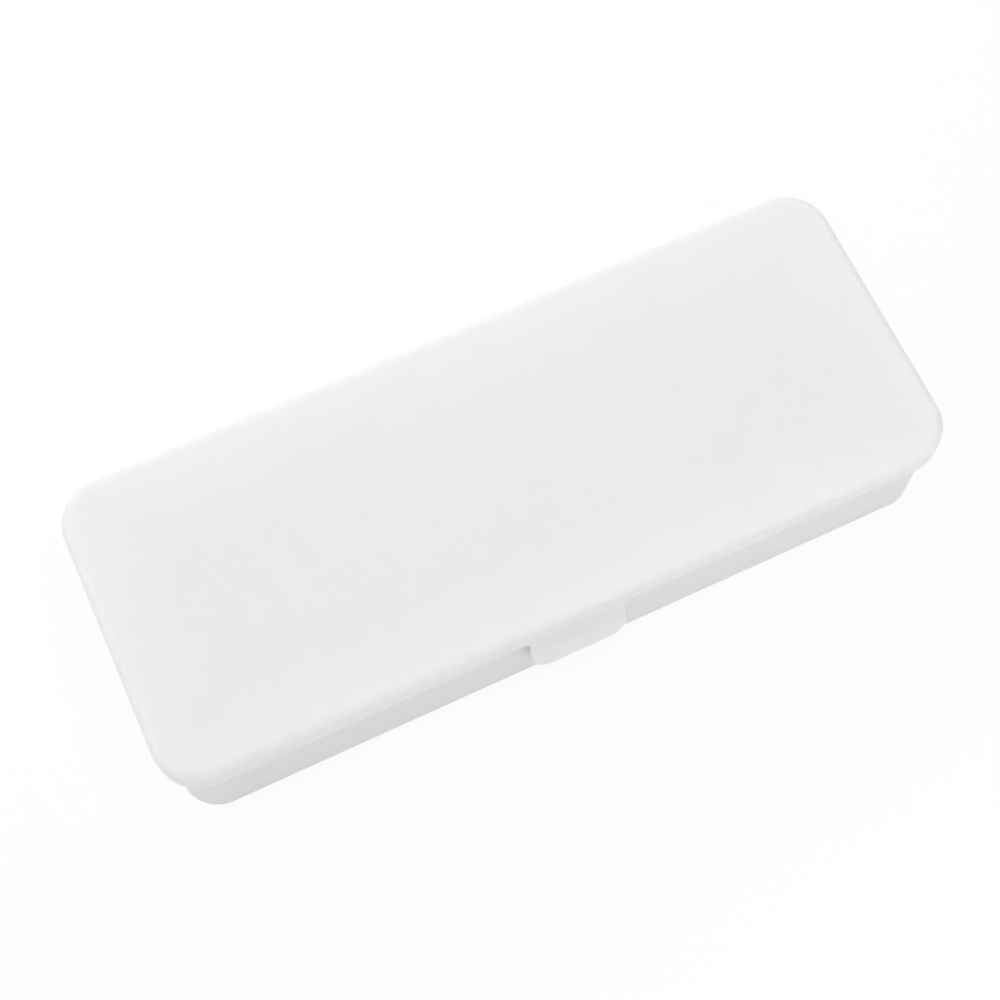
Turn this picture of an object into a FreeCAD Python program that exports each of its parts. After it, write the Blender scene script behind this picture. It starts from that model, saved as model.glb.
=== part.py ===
import FreeCAD, Part
import math
import os

import Sketcher

# A snap-lid storage box for pencils and small tools, moulded in frosted plastic.
# A straight-walled tray carries a shallow lid that overlaps it. The lid turns on two pins
# at the back, where its knuckles sit between ears on the tray. A tab hangs from the front
# of the lid, flexes at its root and snaps its bead under a ridge on the tray.
# Lengths are in millimetres. +X runs along the box, +Y to the hinge, +Z up, and the origin
# is the middle of the tray's underside.

SIZES = [
    ("box_length", 205.0, "lid, outside, end to end"),
    ("box_width", 79.3, "lid, outside, front to back"),
    ("box_height", 37.0, "underside of the tray to top of the lid"),
    ("lid_depth", 8.6, "rim of the lid to its top"),
    ("lid_corner", 11.0, "plan radius of the lid's corners"),
    ("lid_edge", 2.7, "round along the lid's top edge"),
    ("lid_wall", 1.2, "thickness of the lid's skirt and of the tab"),
    ("lid_top", 1.5, "thickness of the lid's panel"),
    ("lid_ease", 0.3, "round along the lid's rim"),
    ("lid_gap", 0.7, "clearance between the skirt and the tray"),
    ("seat_gap", 0.3, "clearance between the lid's panel and the tray's rim"),
    ("tray_corner", 9.5, "plan radius of the tray's corners"),
    ("tray_wall", 1.6, "thickness of the tray's walls"),
    ("tray_floor", 1.8, "thickness of the tray's floor"),
    ("tray_foot", 1.2, "round along the tray's bottom edge"),
    ("tray_rim", 0.6, "round on both edges of the tray's rim"),
    ("cavity_round", 2.0, "round between the floor and the walls inside"),
    ("hinge_end", 40.5, "end of the lid to the middle of the hinge near it"),
    ("hinge_radius", 2.2, "outside of the knuckles and ears"),
    ("hinge_gap", 0.4, "clearance from the knuckles and ears to the wall and rim beside them"),
    ("knuckle_length", 12.0, "lid's knuckle, along the pin"),
    ("knuckle_rise", 3.5, "height that the knuckle's arm climbs the skirt"),
    ("ear_length", 5.0, "tray's ear, along the pin"),
    ("ear_gap", 0.3, "clearance between a knuckle and an ear, along the pin"),
    ("ear_bite", 0.8, "depth that the ears are rooted in the wall"),
    ("hinge_ease", 0.2, "round along the end edges of the knuckles and ears"),
    ("pin_radius", 1.0, "hinge pin"),
    ("pin_play", 0.05, "radial running clearance of the knuckle on its pin"),
    ("pin_grip", 0.01, "radial clearance of the pin in the ears that hold it"),
    ("pin_inset", 0.4, "depth of the pin's ends inside the ears"),
    ("pin_chamfer", 0.3, "chamfer on the pin's ends"),
    ("tab_width", 25.0, "tab, side to side"),
    ("tab_drop", 14.6, "root of the tab to the edge of its lip"),
    ("tab_straight", 5.4, "root of the tab to where it starts to flare"),
    ("tab_flare", 2.6, "how far the lip stands out from the skirt"),
    ("tab_corner", 4.5, "round of the lip's two corners"),
    ("tab_bend", 6.0, "bend where the flare starts, on the outside"),
    ("root_flare", 1.5, "how much wider the tab is at its root, on each side"),
    ("root_round", 3.0, "hollow round from the tab's sides to its root"),
    ("flex_gap", 0.3, "thinned line at the tab's root, where it flexes"),
    ("catch_length", 15.0, "ridge on the tray and bead on the tab, side to side"),
    ("catch_bite", 0.5, "depth that the ridge and the bead are rooted"),
    ("ridge_drop", 6.7, "lid's rim down to the middle of the ridge"),
    ("ridge_foot", 2.0, "height of the ridge at the wall"),
    ("ridge_tip", 0.7, "height of the ridge at its crest"),
    ("ridge_proud", 0.6, "how far the ridge stands out of the wall"),
    ("ridge_ease", 0.2, "round along the edges of the ridge's crest"),
    ("bead_drop", 9.6, "root of the tab down to the middle of the bead"),
    ("bead_foot", 2.2, "height of the bead at the tab"),
    ("bead_tip", 0.8, "height of the bead at its crest"),
    ("bead_proud", 1.1, "how far the bead stands out of the tab"),
]

# Two places closer than this count as one when edges are picked.
NEAR = 0.001

# How far a cut runs on past the material that it takes away.
OVERRUN = 1.0

doc = FreeCAD.newDocument("snap_lid_box")
sheet = doc.addObject("Spreadsheet::Sheet", "Sizes")
for row, (alias, number, note) in enumerate(SIZES, start=1):
    sheet.set(f"A{row}", str(number))
    sheet.setAlias(f"A{row}", alias)
    sheet.set(f"B{row}", note)
doc.recompute()

# Sizes that follow from the driving ones, as expressions on the sheet.
RIM = "(Sizes.box_height - Sizes.lid_depth)"
LID_BACK = "(Sizes.box_width / 2)"
TRAY_LENGTH = "(Sizes.box_length - 2 * (Sizes.lid_wall + Sizes.lid_gap))"
TRAY_WIDTH = "(Sizes.box_width - 2 * (Sizes.lid_wall + Sizes.lid_gap))"
TRAY_HEIGHT = "(Sizes.box_height - Sizes.lid_top - Sizes.seat_gap)"
CAVITY_CORNER = "(Sizes.tray_corner - Sizes.tray_wall)"
HINGE_Y = f"({TRAY_WIDTH} / 2 + Sizes.hinge_gap + Sizes.hinge_radius)"
HINGE_DROP = "(Sizes.hinge_radius + Sizes.hinge_gap)"
HINGE_STATION = "(Sizes.box_length / 2 - Sizes.hinge_end)"
HINGE_SPAN = "(Sizes.knuckle_length + 2 * (Sizes.ear_gap + Sizes.ear_length))"
EAR_SHIFT = "(Sizes.knuckle_length / 2 + Sizes.ear_gap + Sizes.ear_length / 2)"
FLARE_SLOPE = "(Sizes.tab_flare / (Sizes.tab_drop - Sizes.tab_straight))"


def value(expression):
    """The present value of an expression on the sheet."""
    return float(sheet.evalExpression(expression))


def new_body(label):
    body = doc.addObject("PartDesign::Body", label)
    body.Label = label
    return body


def origin_plane(body, role):
    return next(feature for feature in body.Origin.OriginFeatures if feature.Role == role)


def new_sketch(body, name, role, offset=None):
    """A sketch on one of the body's origin planes, moved along its normal by an expression."""
    sketch = body.newObject("Sketcher::SketchObject", name)
    sketch.AttachmentSupport = [(origin_plane(body, role), "")]
    sketch.MapMode = "FlatFace"
    if offset:
        sketch.setExpression("AttachmentOffset.Base.z", offset)
    return sketch


def dimension(sketch, kind, references, expression):
    """A driving dimension whose value is an expression on the sheet."""
    index = sketch.addConstraint(Sketcher.Constraint(kind, *references, value(expression)))
    sketch.setExpression(f"Constraints[{index}]", expression)


def hold_point(sketch, geometry, end, place):
    """Holds one point of the sketch at a pair of expressions from the origin."""
    dimension(sketch, "DistanceX", (-1, 1, geometry, end), place[0])
    dimension(sketch, "DistanceY", (-1, 1, geometry, end), place[1])


def point(place):
    return FreeCAD.Vector(value(place[0]), value(place[1]), 0)


def rounded_rectangle(sketch, length, width, corner):
    """A rectangle centred on the origin whose four corners are equal arcs."""
    half_x = value(length) / 2
    half_y = value(width) / 2
    radius = value(corner)
    in_x = half_x - radius
    in_y = half_y - radius
    sides = [
        ((-in_x, -half_y), (in_x, -half_y)),
        ((half_x, -in_y), (half_x, in_y)),
        ((in_x, half_y), (-in_x, half_y)),
        ((-half_x, in_y), (-half_x, -in_y)),
    ]
    for start, end in sides:
        sketch.addGeometry(Part.LineSegment(FreeCAD.Vector(*start, 0), FreeCAD.Vector(*end, 0)))
    for turn, centre in enumerate([(in_x, -in_y), (in_x, in_y), (-in_x, in_y), (-in_x, -in_y)]):
        circle = Part.Circle(FreeCAD.Vector(*centre, 0), FreeCAD.Vector(0, 0, 1), radius)
        first = math.radians(90 * (turn - 1))
        sketch.addGeometry(Part.ArcOfCircle(circle, first, first + math.radians(90)))
    for side in range(4):
        arc = side + 4
        sketch.addConstraint(Sketcher.Constraint("Tangent", side, 2, arc, 1))
        sketch.addConstraint(Sketcher.Constraint("Tangent", arc, 2, (side + 1) % 4, 1))
        sketch.addConstraint(Sketcher.Constraint("Vertical" if side % 2 else "Horizontal", side))
        if side:
            sketch.addConstraint(Sketcher.Constraint("Equal", 4, arc))
    sketch.addConstraint(Sketcher.Constraint("Symmetric", 4, 3, 6, 3, -1, 1))
    dimension(sketch, "Radius", (4,), corner)
    dimension(sketch, "DistanceX", (3, 1, 1, 1), length)
    dimension(sketch, "DistanceY", (0, 1, 2, 1), width)


def polygon(sketch, places):
    """A closed outline of straight lines through pairs of expressions."""
    count = len(places)
    for index, place in enumerate(places):
        sketch.addGeometry(Part.LineSegment(point(place), point(places[(index + 1) % count])))
    for index, place in enumerate(places):
        sketch.addConstraint(Sketcher.Constraint("Coincident", index, 2, (index + 1) % count, 1))
        hold_point(sketch, index, 1, place)


def bored_loop(sketch, centre, bore, corners):
    """An arc round the hinge's axis, drawn out in tangents to two corners and bored for the pin."""
    middle = point(centre)
    radius = value("Sizes.hinge_radius")
    angles = []
    for place, turn in zip(corners, (-1, 1)):
        reach = point(place) - middle
        angles.append(math.atan2(reach.y, reach.x) + turn * math.acos(radius / reach.Length))
    arc_end, arc_start = angles
    upright = FreeCAD.Vector(0, 0, 1)
    arc = Part.ArcOfCircle(Part.Circle(middle, upright, radius), arc_start, arc_end)
    chain = [arc.EndPoint, *(point(place) for place in corners), arc.StartPoint]
    for start, end in zip(chain, chain[1:]):
        sketch.addGeometry(Part.LineSegment(start, end))
    sketch.addGeometry(arc)
    sketch.addGeometry(Part.Circle(middle, upright, value(bore)))
    sketch.addConstraint(Sketcher.Constraint("Coincident", 0, 2, 1, 1))
    sketch.addConstraint(Sketcher.Constraint("Coincident", 1, 2, 2, 1))
    sketch.addConstraint(Sketcher.Constraint("Tangent", 3, 2, 0, 1))
    sketch.addConstraint(Sketcher.Constraint("Tangent", 2, 2, 3, 1))
    sketch.addConstraint(Sketcher.Constraint("Coincident", 4, 3, 3, 3))
    hold_point(sketch, 1, 1, corners[0])
    hold_point(sketch, 1, 2, corners[1])
    hold_point(sketch, 3, 3, centre)
    dimension(sketch, "Radius", (3,), "Sizes.hinge_radius")
    dimension(sketch, "Radius", (4,), bore)


def pad(body, name, sketch, length, symmetric=False):
    feature = body.newObject("PartDesign::Pad", name)
    feature.Profile = sketch
    feature.SideType = "Symmetric" if symmetric else "One side"
    feature.setExpression("Length", length)
    doc.recompute()
    return feature


def pocket(body, name, sketch, depth=None):
    """A pocket cut to a depth along the sketch's own normal, or else through everything both ways."""
    before = body.Shape.Volume
    feature = body.newObject("PartDesign::Pocket", name)
    feature.Profile = sketch
    if depth:
        feature.Reversed = True
        feature.setExpression("Length", depth)
    else:
        feature.SideType = "Symmetric"
        feature.Type = "ThroughAll"
    doc.recompute()
    if feature.Shape.Volume >= before:
        raise RuntimeError(f"{name} cuts nothing")
    return feature


def dress(body, kind, name, size, wanted):
    """A fillet or a chamfer on those edges of the body that the test picks."""
    base = body.Tip
    edges = enumerate(base.Shape.Edges, start=1)
    names = [f"Edge{number}" for number, edge in edges if wanted(edge)]
    if not names:
        raise RuntimeError(f"{name} finds no edge")
    feature = body.newObject(f"PartDesign::{kind}", name)
    feature.Base = (base, names)
    feature.setExpression("Radius" if kind == "Fillet" else "Size", size)
    doc.recompute()
    return feature


def level(height):
    """A test for edges that lie flat at one height, given as an expression."""
    place = value(height)
    return lambda edge: max(abs(vertex.Z - place) for vertex in edge.Vertexes) < NEAR


def end_outline(stations, wall):
    """A test for the edges round the hinge's end faces, at stations along X and behind a wall."""
    places = [value(station) for station in stations]
    back = value(wall)
    radius = value("Sizes.hinge_radius")

    def wanted(edge):
        box = edge.BoundBox
        at_station = any(abs(abs(box.Center.x) - place) < NEAR for place in places)
        bore = edge.Curve.TypeId == "Part::GeomCircle" and edge.Curve.Radius < radius - NEAR
        return at_station and box.XLength < NEAR and box.YMax > back + NEAR and not bore

    return wanted


def mirror_ends(body, name, features):
    """Repeats features at the other end of the box."""
    feature = body.newObject("PartDesign::Mirrored", name)
    feature.Originals = features
    feature.MirrorPlane = (origin_plane(body, "YZ_Plane"), [""])
    body.Tip = feature
    doc.recompute()
    return feature


def make_tray():
    body = new_body("base_tray")
    outline = new_sketch(body, "tray_outline", "XY_Plane")
    rounded_rectangle(outline, TRAY_LENGTH, TRAY_WIDTH, "Sizes.tray_corner")
    pad(body, "tray_block", outline, TRAY_HEIGHT)
    dress(body, "Fillet", "tray_foot_round", "Sizes.tray_foot", level("0"))

    cavity = new_sketch(body, "cavity_outline", "XY_Plane", "Sizes.tray_floor")
    inside = (f"{size} - 2 * Sizes.tray_wall" for size in (TRAY_LENGTH, TRAY_WIDTH))
    rounded_rectangle(cavity, *inside, CAVITY_CORNER)
    pocket(body, "cavity", cavity, f"{TRAY_HEIGHT} - Sizes.tray_floor + {OVERRUN}")
    dress(body, "Fillet", "cavity_floor_round", "Sizes.cavity_round", level("Sizes.tray_floor"))
    dress(body, "Fillet", "tray_rim_round", "Sizes.tray_rim", level(TRAY_HEIGHT))

    front = f"(-1 * {TRAY_WIDTH} / 2)"
    middle = f"({RIM} - Sizes.ridge_drop)"
    ridge = new_sketch(body, "ridge_profile", "YZ_Plane")
    polygon(ridge, [
        (f"{front} + Sizes.catch_bite", f"{middle} + Sizes.ridge_foot / 2"),
        (f"{front} - Sizes.ridge_proud", f"{middle} + Sizes.ridge_tip / 2"),
        (f"{front} - Sizes.ridge_proud", f"{middle} - Sizes.ridge_tip / 2"),
        (f"{front} + Sizes.catch_bite", f"{middle} - Sizes.ridge_foot / 2"),
    ])
    pad(body, "catch_ridge", ridge, "Sizes.catch_length", symmetric=True)
    crest = value(f"{front} - Sizes.ridge_proud")

    def on_crest(edge):
        return max(abs(vertex.Y - crest) for vertex in edge.Vertexes) < NEAR

    dress(body, "Fillet", "ridge_crest_round", "Sizes.ridge_ease", on_crest)

    axis = (HINGE_Y, f"{RIM} - {HINGE_DROP}")
    root = f"{TRAY_WIDTH} / 2 - Sizes.ear_bite"
    ears = []
    ends = []
    for name, side in (("inner_ear", "-"), ("outer_ear", "+")):
        station = f"{HINGE_STATION} {side} {EAR_SHIFT}"
        ends += [f"{station} {way} Sizes.ear_length / 2" for way in "+-"]
        profile = new_sketch(body, f"{name}_profile", "YZ_Plane", station)
        corners = [(root, f"{axis[1]} {way} Sizes.hinge_radius") for way in "+-"]
        bored_loop(profile, axis, "Sizes.pin_radius + Sizes.pin_grip", corners)
        ears.append(pad(body, name, profile, "Sizes.ear_length", symmetric=True))
    mirror_ends(body, "ears_at_both_ends", ears)
    dress(body, "Fillet", "ear_ease", "Sizes.hinge_ease", end_outline(ends, f"{TRAY_WIDTH} / 2"))
    return body


def make_lid():
    """The lid's own frame has its rim at zero height."""
    body = new_body("lid")
    outline = new_sketch(body, "lid_outline", "XY_Plane")
    rounded_rectangle(outline, "Sizes.box_length", "Sizes.box_width", "Sizes.lid_corner")
    pad(body, "lid_block", outline, "Sizes.lid_depth")
    dress(body, "Fillet", "lid_edge_round", "Sizes.lid_edge", level("Sizes.lid_depth"))

    hollow = new_sketch(body, "lid_hollow_outline", "XY_Plane")
    inside = (f"{size} - 2 * Sizes.lid_wall" for size in ("Sizes.box_length", "Sizes.box_width"))
    rounded_rectangle(hollow, *inside, "Sizes.lid_corner - Sizes.lid_wall")
    ceiling = "(Sizes.lid_depth - Sizes.lid_top)"
    pocket(body, "lid_hollow", hollow, ceiling)
    dress(body, "Fillet", "lid_ceiling_round", "Sizes.lid_edge - Sizes.lid_wall", level(ceiling))
    dress(body, "Fillet", "lid_rim_ease", "Sizes.lid_ease", level("0"))

    profile = new_sketch(body, "knuckle_profile", "YZ_Plane", HINGE_STATION)
    corners = [
        (LID_BACK, "Sizes.knuckle_rise"),
        (f"{HINGE_Y} - Sizes.hinge_radius", "Sizes.knuckle_rise"),
    ]
    axis = (HINGE_Y, f"-1 * {HINGE_DROP}")
    bored_loop(profile, axis, "Sizes.pin_radius + Sizes.pin_play", corners)
    knuckle = pad(body, "knuckle", profile, "Sizes.knuckle_length", symmetric=True)
    mirror_ends(body, "knuckles_at_both_ends", [knuckle])
    ends = [f"{HINGE_STATION} {way} Sizes.knuckle_length / 2" for way in "+-"]
    dress(body, "Fillet", "knuckle_ease", "Sizes.hinge_ease", end_outline(ends, LID_BACK))
    body.setExpression("Placement.Base.z", RIM)
    return body


def tab_side_cut(sketch, lip):
    """What is cut away beside the tab: a round lip corner, a straight side and a hollow root."""
    half = "Sizes.tab_width / 2"
    root = "(Sizes.flex_gap / 2 + Sizes.root_round)"
    corner = value("Sizes.tab_corner")
    hollow = value("Sizes.root_round")
    inset = hollow - value("Sizes.root_flare")
    side = value(half)
    outside = side + value("Sizes.root_flare") + OVERRUN
    bottom = -value(lip) - OVERRUN
    lip_middle = FreeCAD.Vector(side - corner, corner - value(lip), 0)
    root_middle = FreeCAD.Vector(side + hollow, -value(root), 0)
    upright = FreeCAD.Vector(0, 0, 1)
    lip_arc = Part.ArcOfCircle(Part.Circle(lip_middle, upright, corner), -math.pi / 2, 0)
    root_circle = Part.Circle(root_middle, upright, hollow)
    root_arc = Part.ArcOfCircle(root_circle, math.acos(-inset / hollow), math.pi)
    path = [
        FreeCAD.Vector(side - corner, bottom, 0),
        lip_arc.StartPoint,
        lip_arc.EndPoint,
        root_arc.EndPoint,
        root_arc.StartPoint,
        FreeCAD.Vector(outside, root_arc.StartPoint.y, 0),
        FreeCAD.Vector(outside, bottom, 0),
    ]
    for start in (0, 2, 4, 5, 6):
        sketch.addGeometry(Part.LineSegment(path[start], path[(start + 1) % len(path)]))
    sketch.addGeometry([lip_arc, root_arc])
    up, straight, out, down, back, lip_round, root_round = range(len(path))
    meetings = [
        (up, 2, lip_round, 1),
        (root_round, 1, out, 1),
        (out, 2, down, 1),
        (down, 2, back, 1),
        (back, 2, up, 1),
    ]
    for meeting in meetings:
        sketch.addConstraint(Sketcher.Constraint("Coincident", *meeting))
    sketch.addConstraint(Sketcher.Constraint("Tangent", lip_round, 2, straight, 1))
    sketch.addConstraint(Sketcher.Constraint("Tangent", straight, 2, root_round, 2))
    for line in (straight, down):
        sketch.addConstraint(Sketcher.Constraint("Vertical", line))
    for line in (out, back):
        sketch.addConstraint(Sketcher.Constraint("Horizontal", line))
    hold_point(sketch, up, 1, (f"{half} - Sizes.tab_corner", f"-1 * {lip} - {OVERRUN}"))
    hold_point(sketch, lip_round, 1, (f"{half} - Sizes.tab_corner", f"-1 * {lip}"))
    dimension(sketch, "Radius", (lip_round,), "Sizes.tab_corner")
    dimension(sketch, "DistanceX", (-1, 1, straight, 1), half)
    dimension(sketch, "Radius", (root_round,), "Sizes.root_round")
    dimension(sketch, "DistanceY", (-1, 1, root_round, 3), f"-1 * {root}")
    dimension(sketch, "DistanceX", (-1, 1, root_round, 1), f"{half} + Sizes.root_flare")
    dimension(sketch, "DistanceX", (-1, 1, down, 1), f"{half} + Sizes.root_flare + {OVERRUN}")


def make_snap_tab():
    """The tab's own frame has the line on which it flexes as its X axis."""
    body = new_body("snap_tab")
    half = "Sizes.lid_wall / 2"
    lip = "Sizes.tab_drop"
    profile = new_sketch(body, "tab_profile", "YZ_Plane")
    polygon(profile, [
        (f"-1 * {half}", "-1 * Sizes.flex_gap / 2"),
        (f"-1 * {half}", "-1 * Sizes.tab_straight"),
        (f"-1 * {half} - Sizes.tab_flare", f"-1 * {lip}"),
        (f"{half} - Sizes.tab_flare", f"-1 * {lip}"),
        (half, "-1 * Sizes.tab_straight"),
        (half, "-1 * Sizes.flex_gap / 2"),
    ])
    pad(body, "tab_strip", profile, "Sizes.tab_width + 2 * Sizes.root_flare", symmetric=True)

    def knee_edge(way):
        """A test for the edge along X where the flare starts, on the outer or the inner face."""
        knee = level("-1 * Sizes.tab_straight")
        return lambda edge: knee(edge) and edge.BoundBox.XLength > NEAR and edge.CenterOfMass.y * way > 0

    dress(body, "Fillet", "tab_bend_outside", "Sizes.tab_bend", knee_edge(-1))
    dress(body, "Fillet", "tab_bend_inside", "Sizes.tab_bend + Sizes.lid_wall", knee_edge(1))

    beside = new_sketch(body, "tab_side_outline", "XZ_Plane")
    tab_side_cut(beside, lip)
    cut = pocket(body, "tab_side", beside)
    mirror_ends(body, "tab_sides", [cut])

    reach = "(Sizes.bead_drop - Sizes.tab_straight)"
    face = f"({half} - {FLARE_SLOPE} * {reach})"
    bead = new_sketch(body, "bead_profile", "YZ_Plane")
    slant = f"{FLARE_SLOPE} * Sizes.bead_foot / 2"
    polygon(bead, [
        (f"{face} + {slant} - Sizes.catch_bite", "-1 * Sizes.bead_drop + Sizes.bead_foot / 2"),
        (f"{face} + Sizes.bead_proud", "-1 * Sizes.bead_drop + Sizes.bead_tip / 2"),
        (f"{face} + Sizes.bead_proud", "-1 * Sizes.bead_drop - Sizes.bead_tip / 2"),
        (f"{face} - {slant} - Sizes.catch_bite", "-1 * Sizes.bead_drop - Sizes.bead_foot / 2"),
    ])
    pad(body, "catch_bead", bead, "Sizes.catch_length", symmetric=True)
    body.setExpression("Placement.Base.y", f"{half} - Sizes.box_width / 2")
    body.setExpression("Placement.Base.z", f"{RIM} - Sizes.flex_gap / 2")
    return body


def make_pin(label, side):
    """A pin along X, centred on its own origin and set into the ears of one hinge."""
    body = new_body(label)
    section = new_sketch(body, f"{label}_section", "YZ_Plane")
    radius = value("Sizes.pin_radius")
    section.addGeometry(Part.Circle(FreeCAD.Vector(0, 0, 0), FreeCAD.Vector(0, 0, 1), radius))
    section.addConstraint(Sketcher.Constraint("Coincident", 0, 3, -1, 1))
    dimension(section, "Radius", (0,), "Sizes.pin_radius")
    pad(body, f"{label}_rod", section, f"{HINGE_SPAN} - 2 * Sizes.pin_inset", symmetric=True)
    end = value(f"{HINGE_SPAN} / 2 - Sizes.pin_inset")

    def at_end(edge):
        return abs(abs(edge.CenterOfMass.x) - end) < NEAR

    dress(body, "Chamfer", f"{label}_ends", "Sizes.pin_chamfer", at_end)
    body.setExpression("Placement.Base.x", f"{side} * {HINGE_STATION}")
    body.setExpression("Placement.Base.y", HINGE_Y)
    body.setExpression("Placement.Base.z", f"{RIM} - {HINGE_DROP}")
    return body


pieces = [make_tray(), make_lid(), make_snap_tab()]
pieces += [make_pin(label, side) for label, side in (("hinge_pin_left", -1), ("hinge_pin_right", 1))]
doc.recompute()

for item in doc.Objects:
    if "Invalid" in item.State or "Error" in item.State:
        raise RuntimeError(f"{item.Label} failed: {item.State}")
for piece in pieces:
    if piece.Shape.isNull() or not piece.Shape.isValid() or len(piece.Shape.Solids) != 1:
        raise RuntimeError(f"{piece.Label} is not one valid solid")

os.makedirs("parts", exist_ok=True)
for piece in pieces:
    piece.Shape.exportStep(f"parts/{piece.Label}.step")
    box = piece.Shape.BoundBox
    print(piece.Label, round(piece.Shape.Volume, 1), box)
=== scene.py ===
import math

import bmesh
import bpy
from mathutils import Matrix, Vector


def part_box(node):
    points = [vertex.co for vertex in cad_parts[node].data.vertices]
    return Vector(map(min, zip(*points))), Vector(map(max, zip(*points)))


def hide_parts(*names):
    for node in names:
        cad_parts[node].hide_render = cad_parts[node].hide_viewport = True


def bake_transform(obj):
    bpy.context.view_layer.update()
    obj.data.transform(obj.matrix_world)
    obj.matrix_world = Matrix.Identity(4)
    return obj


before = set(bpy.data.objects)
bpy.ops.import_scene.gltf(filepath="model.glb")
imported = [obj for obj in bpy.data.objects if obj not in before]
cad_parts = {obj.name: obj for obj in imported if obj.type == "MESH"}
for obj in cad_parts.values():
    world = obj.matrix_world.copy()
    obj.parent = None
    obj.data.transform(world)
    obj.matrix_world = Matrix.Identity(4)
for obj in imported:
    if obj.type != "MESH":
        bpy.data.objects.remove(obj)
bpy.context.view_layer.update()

# A frosted plastic storage box with a hinged lid, closed, seen from high on the left of its front.
# Lengths are in metres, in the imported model's frame. Only the snap tab's are in millimetres.

MM = 0.001

# The plastic's noises: the size of their features, their detail and their roughness.
CLOUD = (0.038, 3.0, 0.55)
MOTTLE = (0.006, 4.0, 0.6)
GRAIN = (0.00045, 3.0, 0.65)
WAVE = (0.055, 1.0, 0.4)

# The range that most of a noise's values lie in.
NOISE_MIDDLE = (0.3, 0.7)

# How much lighter or darker each noise makes the plastic, and how much painted highlight its edges
# get.
CLOUD_SHADE = 0.008
MOTTLE_SHADE = 0.006
GRAIN_SHADE = 0.008
EDGE_HIGHLIGHT = 0.015

# How far an edge reaches, the rays that look for it, and the cosines of a sharp and a slight turn.
EDGE_REACH = 0.0009
EDGE_SAMPLES = 6
EDGE_TURN = (0.86, 0.995)

# The skin's roughness over the grain, and what the mottle and the edges add to it.
ROUGH_GRAIN = (0.40, 0.48)
ROUGH_MOTTLE = 0.03
ROUGH_EDGE = -0.08

# The sandblasted skin, and the slow waves of a thin moulding.
FINE_BUMP = {"Strength": 0.22, "Distance": 0.00006}
BROAD_BUMP = {"Strength": 0.25, "Distance": 0.00035}

# How much of the light scatters inside the plastic, and the rest of its shader.
SCATTER = 0.6
PLASTIC = {
    "IOR": 1.49,
    "Specular IOR Level": 0.42,
    "Subsurface Radius": (1.0, 1.0, 1.0),
    "Subsurface Scale": 0.0025,
}

# How much painted shade darkens the lid over the hollow box against its lighter sides, and how far
# in that reaches.
HOLLOW_SHADE = 0.05
HOLLOW_REACH = 0.022

# How much lighter a painted highlight makes the round of the lid's corner than its skirt and its
# panel, and how far that reaches.
CORNER_HIGHLIGHT = 0.06
CORNER_REACH = 0.0022
CORNER_RISE = (-0.0035, -0.001)

# Where the tab's root fades out on the lid: to both sides, to the back and upward.
ROOT_ACROSS = (0.015, 0.0165)
ROOT_DEPTH = (-0.0376, -0.0356)
ROOT_HEIGHT = (0.0290, 0.0302)
ROOT_NEARNESS = "root_nearness"

# The grey of each piece, and how much of it painted shade at the root takes off, where no light
# scatters inside.
LID_TONE = 0.86
TRAY_TONE = 0.775
# The tab's grey is the lid's plastic with painted shade, for the gap behind it.
TAB_SHADED_TONE = 0.825
PIN_TONE = 0.8
PIN_GLOSS = 0.12
LID_ROOT_SHADE = 0.055
TAB_ROOT_SHADE = 0.015


# Nodes

class Nodes:
    """The node tree of a material or a world, emptied, with short ways to fill it."""

    def __init__(self, owner):
        owner.use_nodes = True
        self.tree = owner.node_tree
        self.tree.nodes.clear()

    def feed(self, socket, source):
        """Links a socket to another node's output, or sets it to a value."""
        if isinstance(source, bpy.types.NodeSocket):
            self.tree.links.new(source, socket)
        else:
            socket.default_value = source

    def add(self, kind, *sources, **settings):
        """A new node. Sources feed its first sockets, and settings its named ones or attributes."""
        node = self.tree.nodes.new("ShaderNode" + kind)
        for key, setting in settings.items():
            if key in node.inputs:
                self.feed(node.inputs[key], setting)
            else:
                setattr(node, key, setting)
        for socket, source in zip(node.inputs, sources):
            self.feed(socket, source)
        return node

    def math(self, operation, *sources):
        """The result of a sum or other operation."""
        return self.add("Math", *sources, operation=operation).outputs[0]

    def place(self):
        """The point in the piece's own frame."""
        return self.add("TexCoord").outputs["Object"]

    def noise(self, place, size, detail, roughness):
        """Noise whose features are about size metres across, from 0 to 1."""
        node = self.add("TexNoise", place, Scale=1.0 / size, Detail=detail, Roughness=roughness)
        return node.outputs["Fac"]

    def spread(self, value, low, high, source=NOISE_MIDDLE):
        """Maps the values between the two of source to the range from low to high."""
        return self.add("MapRange", value, *source, low, high, clamp=True).outputs[0]

    def scaled_sum(self, terms):
        """The sum of sockets, each times its factor."""
        total = 0.0
        for socket, factor in terms:
            total = self.math("MULTIPLY_ADD", socket, factor, total)
        return total


# The plastic

def rim_nearness(nodes, place, box, reach):
    """From 0 in the middle of a box to 1 at its sides, over a distance inward from them."""
    near = []
    for axis, socket in enumerate(nodes.add("SeparateXYZ", place).outputs[:2]):
        half = (box[1][axis] - box[0][axis]) / 2
        near.append(nodes.spread(nodes.math("ABSOLUTE", socket), 0.0, 1.0, (half - reach, half)))
    return nodes.math("MAXIMUM", *near)


def round_highlight_mask(nodes, place, box):
    """1 along the round between a lid's skirt and its panel, for its painted highlight, and 0
    elsewhere.
    """
    height = nodes.add("SeparateXYZ", place).outputs[2]
    rise = [box[1][2] + step for step in CORNER_RISE]
    near = rim_nearness(nodes, place, box, CORNER_REACH)
    return nodes.math("MULTIPLY", nodes.spread(height, 0.0, 1.0, rise), near)


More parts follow.
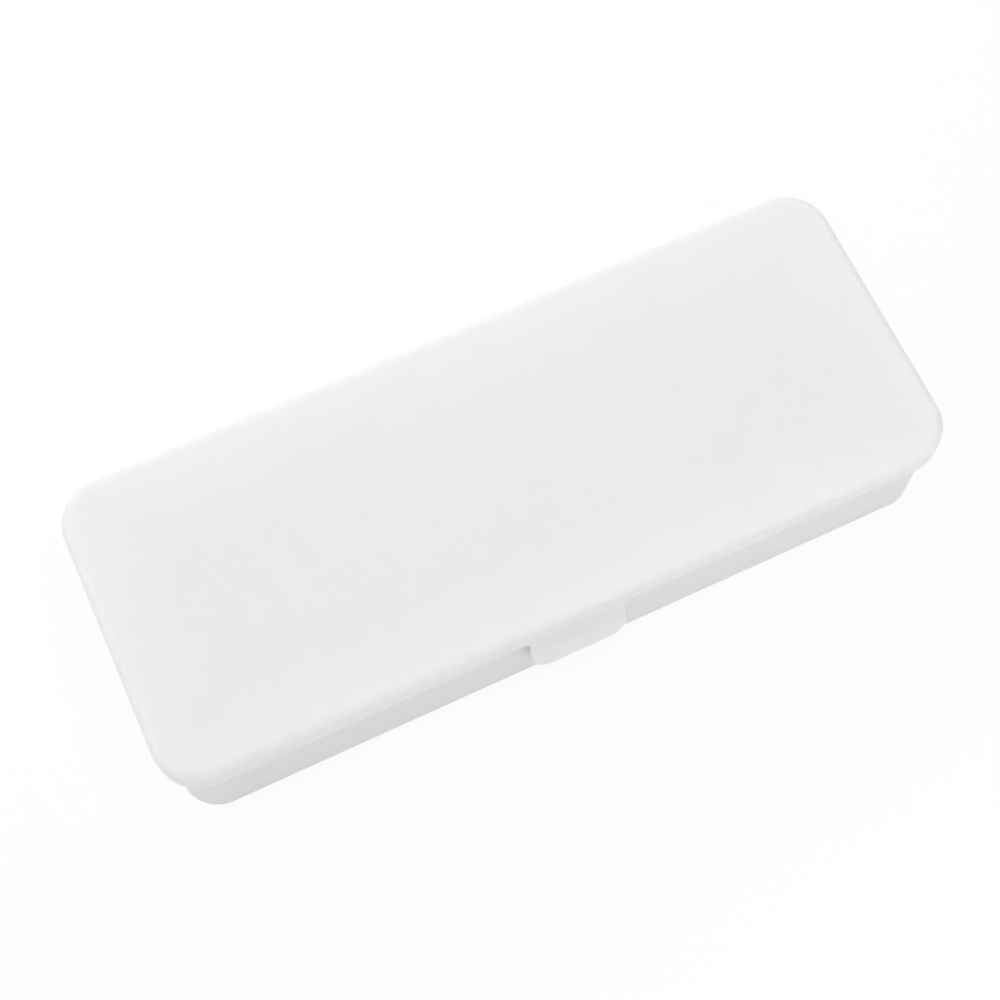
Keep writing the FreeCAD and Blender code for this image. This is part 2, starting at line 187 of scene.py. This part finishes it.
def root_on_lid(nodes, place):
    """1 on the lid's skirt around the tab's root, and 0 away from it."""
    across, depth, height = nodes.add("SeparateXYZ", place).outputs
    near = nodes.spread(nodes.math("ABSOLUTE", across), 1.0, 0.0, ROOT_ACROSS)
    for socket, ends in ((depth, ROOT_DEPTH), (height, ROOT_HEIGHT)):
        near = nodes.math("MULTIPLY", near, nodes.spread(socket, 1.0, 0.0, ends))
    return near


def root_on_tab(nodes, place):
    """1 at the tab's root and 0 further down, as its mesh keeps it, whatever the place is."""
    return nodes.add("Attribute", attribute_name=ROOT_NEARNESS).outputs["Fac"]


def edge_polish_and_highlight(nodes):
    """1 where the surface turns within a millimetre, where the skin is rubbed smooth and has a
    painted highlight.
    """
    rounded = nodes.add("Bevel", samples=EDGE_SAMPLES, Radius=EDGE_REACH).outputs["Normal"]
    plain = nodes.add("NewGeometry").outputs["Normal"]
    turn = nodes.add("VectorMath", rounded, plain, operation="DOT_PRODUCT").outputs["Value"]
    return nodes.spread(turn, 1.0, 0.0, EDGE_TURN)


def frosted_plastic(name, tone, gloss=0.0, hollow_box=None, root=None, root_shade=0.0):
    """Frosted polypropylene: milky and cloudy, with a fine sandblasted skin and polished edges.

    Over a hollow, painted shade for the light the thin sheet passes on darkens it away from its
    sides.
    At a root, where two meshes meet as one moulding, it scatters no light inside, which would
    leave a dark seam, and painted shade in its colour makes up for that.
    """
    material = bpy.data.materials.new(name)
    nodes = Nodes(material)
    place = nodes.place()
    cloud = nodes.noise(place, *CLOUD)
    mottle = nodes.noise(place, *MOTTLE)
    grain = nodes.noise(place, *GRAIN)
    wave = nodes.noise(place, *WAVE)
    edge = edge_polish_and_highlight(nodes)

    shades = [
        (nodes.spread(cloud, -1.0, 1.0), CLOUD_SHADE),
        (nodes.spread(mottle, -1.0, 1.0), MOTTLE_SHADE),
        (nodes.spread(grain, -1.0, 1.0), GRAIN_SHADE),
        # The painted highlight on the edges.
        (edge, EDGE_HIGHLIGHT),
    ]
    plain_level = 1.0
    scatter = SCATTER
    if hollow_box:
        # Painted shade over the hollow, lighter towards the sides.
        plain_level -= HOLLOW_SHADE
        shades.append((rim_nearness(nodes, place, hollow_box, HOLLOW_REACH), HOLLOW_SHADE))
        # A painted highlight along the round of the lid's corner.
        shades.append((round_highlight_mask(nodes, place, hollow_box), CORNER_HIGHLIGHT))
    if root:
        near_root = root(nodes, place)
        # Painted shade at the root, making up for the scattering turned off there.
        shades.append((near_root, -root_shade))
        scatter = nodes.spread(near_root, SCATTER, 0.0, (0.0, 1.0))
    level = nodes.math("ADD", nodes.scaled_sum(shades), plain_level)
    colour = nodes.add("VectorMath", (tone, tone, tone), operation="SCALE", Scale=level)

    smoothest, roughest = ROUGH_GRAIN
    rough = nodes.scaled_sum((
        (nodes.spread(grain, smoothest - gloss, roughest - gloss), 1.0),
        (nodes.spread(mottle, -ROUGH_MOTTLE, ROUGH_MOTTLE), 1.0),
        (edge, ROUGH_EDGE),
    ))
    fine = nodes.add("Bump", Height=grain, **FINE_BUMP).outputs["Normal"]
    broad = nodes.add("Bump", Height=wave, Normal=fine, **BROAD_BUMP).outputs["Normal"]
    looks = {
        "Base Color": colour.outputs[0],
        "Roughness": rough,
        "Normal": broad,
        "Subsurface Weight": scatter,
    }
    shader = nodes.add("BsdfPrincipled", **PLASTIC, **looks)
    nodes.add("OutputMaterial", shader.outputs[0])
    return material


# The snap tab, which hangs from the lid's front edge

# The skirt's outer face, the height where the round of its rim starts, and the line of the bend.
LID_FRONT = -39.65
RIM_EASE = 28.7

# The tab's top within the skirt, and how far it lies inside both faces there.
TAB_TOP = 29.3
TAB_SINK = 0.25

# The lip's height, the knee where the flare starts, how far it leans out, and the knee's radius.
TAB_LIP = 13.65
TAB_KNEE = 22.85
TAB_FLARE = 2.6
TAB_BEND = 6.0

# Half the tab's width, the radius of its lower corners, and the round of its edges.
TAB_HALF = 12.5
TAB_CORNER = 4.5
STRAIGHT_END = TAB_LIP + TAB_CORNER
TAB_EDGE = 0.25
TAB_EDGE_STEPS = 4

# The tab's thickness, and the share of it that a lean takes off.
WALL = 1.2
THINNING = 0.04
THINNING_LEAN = 0.275

# The hollow at each side of the root: its radius, its top, how far up it runs on as a curve, and
# the heights over which the root's painted shade and its lack of scattering set in. Heights that
# differ by less count as the same.
ROOT_ROUND = 3.0
ROOT_TOP = 28.4
ROOT_REACH = 3.2
ROOT_FADE = (27.0, 28.2)
SAME_HEIGHT = 0.01

# The catch's bead on the inner face: its height, its half height, how far it stands out, the power
# that rounds it, its half length, and the length over which each end runs out.
BEAD_DROP = 18.65
BEAD_HALF = 1.1
BEAD_PROUD = 1.1
BEAD_ROUND = 0.75
CATCH_HALF = 7.5
CATCH_END = 0.8

# The mesh: its columns, the heights that its rows run down to and their counts, and the lip's rows.
TAB_COLUMNS = 56
TAB_ROWS = ((RIM_EASE, 6), (28.2, 10), (27.9, 3), (STRAIGHT_END, 46))
LIP_ROWS = 16


def tab_sink(height):
    """How far the tab's top lies inside both faces of the skirt, above the round of its rim."""
    up = max(0.0, (height - RIM_EASE) / (TAB_TOP - RIM_EASE))
    return TAB_SINK * up ** 2


def tab_face(height):
    """The outer face's depth and lean at a height, straight down to the knee and then flaring."""
    lean = math.atan2(TAB_FLARE, TAB_KNEE - TAB_LIP)
    reach = TAB_BEND * math.tan(lean / 2)
    start = TAB_KNEE + reach
    if height >= start:
        return LID_FRONT + tab_sink(height), 0.0
    end = TAB_KNEE - reach * math.cos(lean)
    if height >= end:
        turned = math.asin((start - height) / TAB_BEND)
        return LID_FRONT - TAB_BEND * (1 - math.cos(turned)), turned
    return LID_FRONT - (TAB_KNEE - height) * math.tan(lean), lean


def tab_thickness(height):
    """The tab's thickness at a height, a little less on the flare."""
    lean = tab_face(height)[1]
    return WALL * (1 - THINNING * lean / THINNING_LEAN) - 2 * tab_sink(height)


def tab_outline(height):
    """Half the width of the tab's faces within their rounded edge, and the way that edge faces.

    The tab is hollow at its root, straight, and round at the lip.
    """
    up = height - (ROOT_TOP - ROOT_ROUND)
    if up > 0:
        radius = ROOT_ROUND + TAB_EDGE
        level = math.sqrt(radius ** 2 - min(up, ROOT_REACH) ** 2)
        above = up > ROOT_REACH + SAME_HEIGHT
        faces = (1.0, 0.0) if above else (level / radius, -up / radius)
        return TAB_HALF + ROOT_ROUND - level, faces
    down = STRAIGHT_END - height
    if down > 0:
        radius = TAB_CORNER - TAB_EDGE
        level = math.sqrt(max(radius ** 2 - down ** 2, 0.0))
        return TAB_HALF - TAB_CORNER + level, (level / radius, -down / radius)
    return TAB_HALF - TAB_EDGE, (1.0, 0.0)


def bead(height, across):
    """How far the catch's bead stands out of the inner face."""
    rise = max(0.0, 1 - ((height - BEAD_DROP) / BEAD_HALF) ** 2) ** BEAD_ROUND
    run = min(max((CATCH_HALF - abs(across)) / CATCH_END, 0.0), 1.0)
    return BEAD_PROUD * rise * math.sqrt(run * (2 - run))


def tab_heights():
    """Row heights: close together where the tab bends, over the bead and round the lip."""
    rows = [TAB_TOP]
    for end, count in TAB_ROWS:
        start = rows[-1]
        rows += [start + (end - start) * step / count for step in range(1, count + 1)]
    for step in range(1, LIP_ROWS + 1):
        turned = math.pi / 2 * step / LIP_ROWS
        rows.append(STRAIGHT_END - (TAB_CORNER - TAB_EDGE) * math.sin(turned))
    return rows


def tab_across(height, step):
    """How far a column lies to the right of the tab's middle at a height."""
    return tab_outline(height)[0] * (2 * step / TAB_COLUMNS - 1)


def tab_place(across, height, depth):
    """A point of the tab in metres, at a depth behind its outer face."""
    face, lean = tab_face(height)
    return Vector((
        across, face + depth * math.cos(lean), height + depth * math.sin(lean),
    )) * MM


def tab_faces(build, heights):
    """The points of the tab's outer and inner faces, row by row from the top."""
    outer, inner = [], []
    for height in heights:
        row = [tab_across(height, step) for step in range(TAB_COLUMNS + 1)]
        behind = tab_thickness(height)
        outer.append([build.verts.new(tab_place(across, height, 0.0)) for across in row])
        inner.append([
            build.verts.new(tab_place(across, height, behind + bead(height, across)))
            for across in row
        ])
    return outer, inner


def tab_edge(build, heights, outer, inner):
    """Strips of points over the tab's rounded edge, each from the outer face to the inner one.

    They follow one another down the left side, along the lip and up the right side.
    """
    last = len(heights) - 1
    border = [(row, 0, -1) for row in range(last + 1)]
    border += [(last, step, 1) for step in range(1, TAB_COLUMNS)]
    border += [(row, TAB_COLUMNS, 1) for row in range(last, -1, -1)]
    turns = [math.pi / 2 * step / TAB_EDGE_STEPS for step in range(1, TAB_EDGE_STEPS + 1)]
    turns_over = [(turned, True) for turned in turns]
    turns_over += [(turned, False) for turned in reversed(turns)]
    strips = []
    for row, step, side in border:
        aside, rise = tab_outline(heights[row])[1]
        strip = [outer[row][step]]
        for turned, from_outer in turns_over:
            reach = TAB_EDGE * math.sin(turned)
            across = tab_across(heights[row], step) + side * reach * aside
            height = heights[row] + reach * rise
            depth = TAB_EDGE * (1 - math.cos(turned))
            if not from_outer:
                depth = tab_thickness(height) - depth
            strip.append(build.verts.new(tab_place(across, height, depth)))
        strip.append(inner[row][step])
        strips.append(strip)
    return strips


def join_rows(build, rows):
    """Faces between rows of points that follow one another."""
    for one, two in zip(rows, rows[1:]):
        for step in range(len(one) - 1):
            build.faces.new((one[step], two[step], two[step + 1], one[step + 1]))


def make_tab():
    """The tab as one closed mesh, with rounded edges and a flat top that the skirt hides."""
    build = bmesh.new()
    heights = tab_heights()
    outer, inner = tab_faces(build, heights)
    strips = tab_edge(build, heights, outer, inner)
    top = list(zip(outer[0], inner[0]))
    for rows in (outer, inner, strips, top):
        join_rows(build, rows)
    build.faces.new(strips[0])
    build.faces.new(strips[-1])
    bmesh.ops.recalc_face_normals(build, faces=build.faces)
    mesh = bpy.data.meshes.new("snap_tab_flexing")
    build.to_mesh(mesh)
    build.free()
    for face in mesh.polygons:
        face.use_smooth = True
    piece = bpy.data.objects.new("snap_tab_flexing", mesh)
    bpy.context.scene.collection.objects.link(piece)
    return piece


def mark_root(piece):
    """Keeps at each point of the tab how near it is to the root, for its painted shade and
    scattering.
    """
    near = piece.data.attributes.new(ROOT_NEARNESS, "FLOAT", "POINT")
    low, high = ROOT_FADE
    for vertex, kept in zip(piece.data.vertices, near.data):
        kept.value = min(max((vertex.co.z / MM - low) / (high - low), 0.0), 1.0)


tab = make_tab()
mark_root(tab)
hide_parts("snap_tab")
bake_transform(tab)


# Finishes of the pieces

lid_plastic = frosted_plastic(
    "lid_frosted_plastic", LID_TONE,
    hollow_box=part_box("lid"), root=root_on_lid, root_shade=LID_ROOT_SHADE,
)
tray_plastic = frosted_plastic("tray_frosted_plastic", TRAY_TONE)
# The tab's plastic, with painted shade in its grey and at its root.
tab_shaded_plastic = frosted_plastic(
    "tab_shaded_frosted_plastic", TAB_SHADED_TONE, root=root_on_tab, root_shade=TAB_ROOT_SHADE,
)
pin_plastic = frosted_plastic("pin_plastic", PIN_TONE, gloss=PIN_GLOSS)
finishes = {
    "lid": lid_plastic,
    "base_tray": tray_plastic,
    "hinge_pin_left": pin_plastic,
    "hinge_pin_right": pin_plastic,
}
for node, material in finishes.items():
    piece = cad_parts[node]
    piece.data.materials.clear()
    piece.data.materials.append(material)
tab.data.materials.append(tab_shaded_plastic)


# Floor and light

WHITE = (1.0, 1.0, 1.0, 1.0)

# The floor's half size, how far it lies below the box, its colour, the share of plain white that
# the eye sees near the box, and the distances over which that grows to all of it.
FLOOR_HALF = 6.0
FLOOR_SEGMENTS = 8
FLOOR_DROP = 0.0002
FLOOR_COLOUR = (0.9, 0.9, 0.9, 1.0)
FLOOR_WHITE = 0.9
FLOOR_FADE = (0.2, 0.9)

# The strength at which the white surround lights the box.
SURROUND = 0.36

# The softboxes: name, place, target, size, power, and whether they gleam in the plastic.
MIDDLE = (0.0, 0.0, 0.02)
LAMPS = (
    ("overhead", (0.0, 0.0, 1.0), MIDDLE, (0.9, 0.7), 4.5, False),
    ("left_side", (-1.0, 0.1, 0.35), MIDDLE, (0.8, 0.5), 1.8, False),
    ("front_fill", (0.0, -1.0, 0.4), MIDDLE, (0.8, 0.5), 0.9, False),
    ("front_high", (0.0, -0.7, 0.72), MIDDLE, (0.8, 0.5), 0.8, False),
    ("front_card", (0.12, -0.24, 0.13), (0.06, -0.04, 0.015), (0.25, 0.15), 0.1, True),
    ("back_strip", (0.0, 0.32, 0.2), (0.0, 0.03, 0.035), (0.5, 0.1), 0.52, False),
)


def seen_directly(nodes):
    """1 for camera, glossy and see-through rays, which meet plain white, and 0 for all others."""
    path = nodes.add("LightPath").outputs
    seen = path["Is Camera Ray"]
    for ray in ("Is Glossy Ray", "Is Transmission Ray"):
        seen = nodes.math("MAXIMUM", seen, path[ray])
    return seen


def make_floor():
    """A wide pale floor that the eye sees as nearly white, with the rest of it in light and shadow.

    Over the distances of the fade it turns to plain white, so that no horizon shows.
    """
    mesh = bpy.data.meshes.new("studio_floor")
    build = bmesh.new()
    bmesh.ops.create_grid(
        build, x_segments=FLOOR_SEGMENTS, y_segments=FLOOR_SEGMENTS, size=FLOOR_HALF,
    )
    build.to_mesh(mesh)
    build.free()
    floor = bpy.data.objects.new("studio_floor", mesh)
    floor.location.z = -FLOOR_DROP
    bpy.context.scene.collection.objects.link(floor)
    material = bpy.data.materials.new("pale_floor")
    nodes = Nodes(material)
    matte = nodes.add("BsdfDiffuse", Color=FLOOR_COLOUR)
    white = nodes.add("Emission", Color=WHITE, Strength=1.0)
    away = nodes.add("VectorMath", nodes.place(), operation="LENGTH").outputs["Value"]
    faded = nodes.spread(away, FLOOR_WHITE, 1.0, FLOOR_FADE)
    share = nodes.math("MULTIPLY", seen_directly(nodes), faded)
    both = nodes.add("MixShader", share, matte.outputs[0], white.outputs[0])
    nodes.add("OutputMaterial", both.outputs[0])
    mesh.materials.append(material)


def make_world():
    """A white surround that lights the box at a lower strength than the eye sees."""
    world = bpy.data.worlds.new("studio")
    bpy.context.scene.world = world
    nodes = Nodes(world)
    level = nodes.spread(seen_directly(nodes), SURROUND, 1.0, (0.0, 1.0))
    glow = nodes.add("Background", Color=WHITE, Strength=level)
    nodes.add("OutputWorld", glow.outputs[0])


def make_lamp(name, place, target, size, power, gleams):
    """A softbox that faces a target, and that the camera doesn't see."""
    data = bpy.data.lights.new(name, "AREA")
    data.shape = "RECTANGLE"
    data.size, data.size_y = size
    data.energy = power
    lamp = bpy.data.objects.new(name, data)
    lamp.location = place
    lamp.rotation_mode = "QUATERNION"
    lamp.rotation_quaternion = (Vector(target) - Vector(place)).to_track_quat("-Z", "Y")
    lamp.visible_camera = False
    lamp.visible_glossy = gleams
    bpy.context.scene.collection.objects.link(lamp)


make_floor()
make_world()
for lamp_row in LAMPS:
    make_lamp(*lamp_row)


# Camera

# The focal length and the picture's width in pixels, and the sensor's width in millimetres.
FOCAL_LENGTH = 1858.3
PICTURE_WIDTH = 1000
SENSOR_WIDTH = 36.0
CAMERA_SHIFT = -0.045
CAMERA_NEAR = 0.01

# Where the camera stands, the way it looks, and the way that its picture's right side points.
CAMERA_PLACE = (-0.06873, -0.15219, 0.44989)
CAMERA_LOOK = (0.1655, 0.3189, -0.9332)
CAMERA_RIGHT = (0.9040, -0.4273, 0.0143)


def make_camera():
    """The photo's camera, as fitted to the outlines of the box."""
    data = bpy.data.cameras.new("photo_view")
    data.sensor_width = SENSOR_WIDTH
    data.lens = FOCAL_LENGTH / PICTURE_WIDTH * SENSOR_WIDTH
    data.shift_x = CAMERA_SHIFT
    data.clip_start = CAMERA_NEAR
    camera = bpy.data.objects.new("photo_view", data)
    look = Vector(CAMERA_LOOK).normalized()
    up = Vector(CAMERA_RIGHT).normalized().cross(look).normalized()
    turn = Matrix((look.cross(up), up, -look)).transposed()
    camera.matrix_world = Matrix.Translation(CAMERA_PLACE) @ turn.to_4x4()
    bpy.context.scene.collection.objects.link(camera)
    bpy.context.scene.camera = camera


make_camera()
bpy.context.scene.view_settings.view_transform = "Standard"
